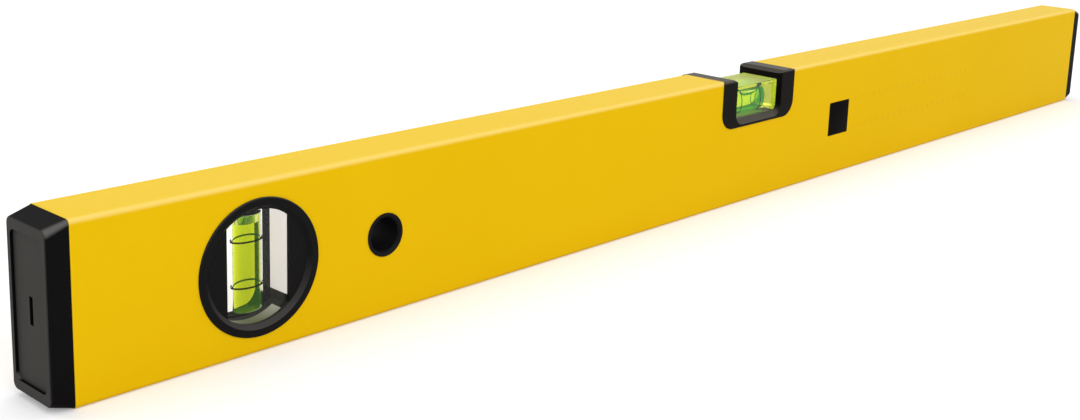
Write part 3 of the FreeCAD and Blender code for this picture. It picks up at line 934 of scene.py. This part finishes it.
def make_plumb_gas():
    """The gas under the plug: flat on top, and bellied below where the fluid climbs the wall."""
    radius = (gas_high.x - gas_low.x) / 2
    height = gas_high.z - gas_low.z
    profile = [(0, 0)]
    for step in range(1, WALL_STEPS + 1):
        share = step / WALL_STEPS
        profile.append((meniscus * (1 - sqrt(max(0, 1 - share ** 4))), radius * share))
    top_inner = radius - gas_top_round
    profile += quarter_round(height - gas_top_round, top_inner, gas_top_round, pi / 2, 0)
    profile.append((height, 0))
    shape = lathe(profile, tube_axis + UP * gas_low.z, UP, BACK)
    piece = new_piece(
        "plumb_vial_gas", shape, shaded_gas, PLUMB_BUBBLE_BODY, gas_sharp_angle
    )
    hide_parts("plumb_bubble")


def make_plumb_plug():
    """The plug in the upper end of the tube. Its top follows the round end of the block."""
    radius = (plug_high.x - plug_low.x) / 2
    round_radius = (slab_high.z - slab_low.z) / 2
    top = slab_high.z - seat_gap - (round_radius - sqrt(round_radius ** 2 - radius ** 2))
    foot = plug_low.z + seat_gap
    profile = plug_profile((top - foot) / 2, radius, plug_edge_round)
    shape = lathe(profile, tube_axis + UP * (top + foot) / 2, UP, BACK)
    piece = new_piece("plumb_vial_clear_plug", shape, painted_shade_plug)
    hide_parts("plumb_vial_plug")


make_plumb_block()
make_plumb_fluid()
make_plumb_gas()
make_plumb_plug()

# %% [markdown]
# ## The level vial
#
# The main vial is a block of clear acrylic, milled with a barrel bore from its right side. Its two
# lower corners follow the round corners of the frame. The block's outline is drawn once and
# extruded through, and then its edges are eased. The bubble lies along the top of the bore: its
# upper side follows the wall, and its lower side is a shallow bowl.

# %% Block, fluid, gas and plug of the level vial
block_low, block_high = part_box("level_vial_block")
level_bore_low, level_bore_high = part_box("level_fluid")
level_plug_low, level_plug_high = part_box("level_vial_plug")
level_gas_low, level_gas_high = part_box("level_bubble")
level_bore_centre = (level_bore_low + level_bore_high) / 2
level_bore_half = (level_bore_high.x - level_bore_low.x) / 2
level_bore_radius = (level_bore_high.y - level_bore_low.y) / 2
level_bore_bulge = 0.2 * MM
level_bore_round = 0.4 * MM
block_corner_radius = 2.5 * MM
block_top_round = 0.3 * MM
block_side_gap = 0.03 * MM
block_seat = 0.02 * MM
level_plug_gap = 0.1 * MM
level_plug_round = 0.2 * MM
tip_drop = 0.2 * MM
tip_bluntness = 2.6
rim_bluntness = 2.2
belly_share = 0.62
level_gas_sharp_angle = 60
CORNER_STEPS = 10
GAS_SLICES = 28
GAS_AROUND = 20


def block_outline():
    """The block's outline in the plane of the faces: square above, round below."""
    half = block_high.x - block_side_gap
    low = block_low.z - block_seat
    inner = half - block_corner_radius
    points = [(half, block_high.z), (-half, block_high.z)]
    for side in (-1, 1):
        for step in range(CORNER_STEPS + 1):
            angle = pi / 2 * step / CORNER_STEPS
            if side < 0:
                out, down = cos(angle), sin(angle)
            else:
                out, down = sin(angle), cos(angle)
            points.append((side * (inner + block_corner_radius * out),
                           low + block_corner_radius * (1 - down)))
    return points


def make_block():
    """The outside of the clear block."""
    shape = bmesh.new()
    front = [shape.verts.new((x, block_low.y, z)) for x, z in block_outline()]
    face = shape.faces.new(front)
    grown = bmesh.ops.extrude_face_region(shape, geom=[face])["geom"]
    back = [entry for entry in grown if isinstance(entry, bmesh.types.BMVert)]
    bmesh.ops.translate(shape, verts=back, vec=BACK * (block_high.y - block_low.y))
    middle = (block_low.z + block_high.z) / 2
    eased = [edge for edge in shape.edges if min(vert.co.z for vert in edge.verts) > middle]
    bmesh.ops.bevel(
        shape, geom=eased, offset=block_top_round, segments=3, profile=0.5, affect="EDGES"
    )
    piece = new_piece("level_vial_clear_block", shape, dyed_acrylic_painted_glow)
    piece.modifiers.new("flat_faces", "WEIGHTED_NORMAL").keep_sharp = True
    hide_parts("level_vial_block")


def make_level_fluid():
    """The fluid, as the whole bore."""
    profile = barrel_profile(
        level_bore_half, level_bore_radius, level_bore_bulge, level_bore_round, level_bore_round
    )
    shape = lathe(profile, level_bore_centre, ALONG, UP)
    piece = new_piece("level_vial_fluid", shape, level_green_fluid)
    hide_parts("level_fluid")


def make_level_gas():
    """The bubble: sections across the bore, from one tip to the other."""
    half_length = (level_gas_high.x - level_gas_low.x) / 2
    half_width = (level_gas_high.y - level_gas_low.y) / 2
    reach = level_gas_high.z - level_bore_centre.z
    depth = level_gas_high.z - level_gas_low.z
    shape = bmesh.new()
    rings = []
    for index in range(1, GAS_SLICES):
        across = cos(pi * index / GAS_SLICES)
        fullness = 1 - abs(across) ** tip_bluntness
        width = half_width * fullness ** (1 / rim_bluntness)
        sag = depth * belly_share * sqrt(fullness)
        rim_z = sqrt(reach ** 2 - width ** 2)
        ring = []
        for step in range(GAS_AROUND + 1):
            y = width * cos(pi * step / GAS_AROUND)
            ring.append(Vector((across * half_length, y, sqrt(reach ** 2 - y ** 2))))
        for step in range(1, GAS_AROUND):
            angle = pi * step / GAS_AROUND
            belly = Vector((across * half_length, -width * cos(angle), rim_z - sag * sin(angle)))
            ring.append(belly)
        rings.append([shape.verts.new(level_bore_centre + point) for point in ring])
    count = len(rings[0])
    for first, second in zip(rings, rings[1:]):
        for step in range(count):
            following = (step + 1) % count
            shape.faces.new((first[step], first[following], second[following], second[step]))
    for ring, side in ((rings[0], 1), (rings[-1], -1)):
        tip_offset = Vector((side * half_length, 0, reach - tip_drop))
        tip = shape.verts.new(level_bore_centre + tip_offset)
        for step in range(count):
            shape.faces.new((ring[step], ring[(step + 1) % count], tip))
    piece = new_piece(
        "level_vial_gas", shape, gas, LEVEL_BUBBLE_BODY, level_gas_sharp_angle
    )
    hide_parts("level_bubble")


def make_level_plug():
    """The plug that closes the bore on the right."""
    radius = (level_plug_high.y - level_plug_low.y) / 2
    start = level_bore_high.x + level_plug_gap
    profile = plug_profile((level_plug_high.x - start) / 2, radius, level_plug_round)
    centre = Vector(((level_plug_high.x + start) / 2, level_bore_centre.y, level_bore_centre.z))
    shape = lathe(profile, centre, ALONG, UP)
    piece = new_piece("level_vial_clear_plug", shape, plug_acrylic)
    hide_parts("level_vial_plug")


make_block()
make_level_fluid()
make_level_gas()
make_level_plug()

# %% [markdown]
# ## Print on the front face
#
# Right of the main vial the level carries a plain black panel, and then two rows of fine scale
# ticks every 5 mm along the upper and the lower part of the face. Print is a film of ink a few
# hundredths of a millimetre thick. A thin raised piece shows that better than a change of colour
# in the coat, because it has its own gloss and a real edge. The ticks are faded to little more
# than a shade of the yellow.

# %% Panel and scale ticks
face_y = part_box("profile")[0].y
film_thickness = 0.03 * MM
film_bury = 0.01 * MM
film_ease = 0.02 * MM
panel_left, panel_right = 52.9 * MM, 68.0 * MM
panel_foot, panel_top = 17.2 * MM, 31.5 * MM
panel_corner = 0.5 * MM
tick_start, tick_count, tick_step = 73.0 * MM, 21, 5.0 * MM
tick_width, tick_height = 0.25 * MM, 2.2 * MM
tick_rows = (17.8 * MM, 30.1 * MM)


def film(shape, outline):
    """A thin raised film of ink from its outline in the face, with its front edge drawn in."""
    middle_x = sum(x for x, z in outline) / len(outline)
    middle_z = sum(z for x, z in outline) / len(outline)
    levels = (
        (face_y + film_bury, 0),
        (face_y - film_thickness / 2, 0),
        (face_y - film_thickness, film_ease),
    )
    rings = []
    for y, draw in levels:
        ring = []
        for x, z in outline:
            inward_x = draw if x < middle_x else -draw
            inward_z = draw if z < middle_z else -draw
            ring.append(shape.verts.new((x + inward_x, y, z + inward_z)))
        rings.append(ring)
    for first, second in zip(rings, rings[1:]):
        for step in range(len(outline)):
            following = (step + 1) % len(outline)
            shape.faces.new((first[step], first[following], second[following], second[step]))
    shape.faces.new(rings[0])
    shape.faces.new(rings[-1])


def rounded_outline(left, foot, right, top, corner):
    """A rectangle with round corners."""
    points = []
    for centre_x, centre_z, start in (
        (right - corner, top - corner, 0), (left + corner, top - corner, pi / 2),
        (left + corner, foot + corner, pi), (right - corner, foot + corner, 3 * pi / 2),
    ):
        for step in range(ROUND_STEPS + 1):
            angle = start + pi / 2 * step / ROUND_STEPS
            points.append((centre_x + corner * cos(angle), centre_z + corner * sin(angle)))
    return points


def make_panel():
    """The plain black panel."""
    shape = bmesh.new()
    film(shape, rounded_outline(panel_left, panel_foot, panel_right, panel_top, panel_corner))
    new_piece("printed_panel", shape, black_ink)


def make_ticks():
    """Two rows of fine ticks."""
    shape = bmesh.new()
    for foot in tick_rows:
        for index in range(tick_count):
            left = tick_start + index * tick_step - tick_width / 2
            right, top = left + tick_width, foot + tick_height
            film(shape, rounded_outline(left, foot, right, top, tick_width / 4))
    new_piece("printed_ticks", shape, faded_ink)


make_panel()
make_ticks()
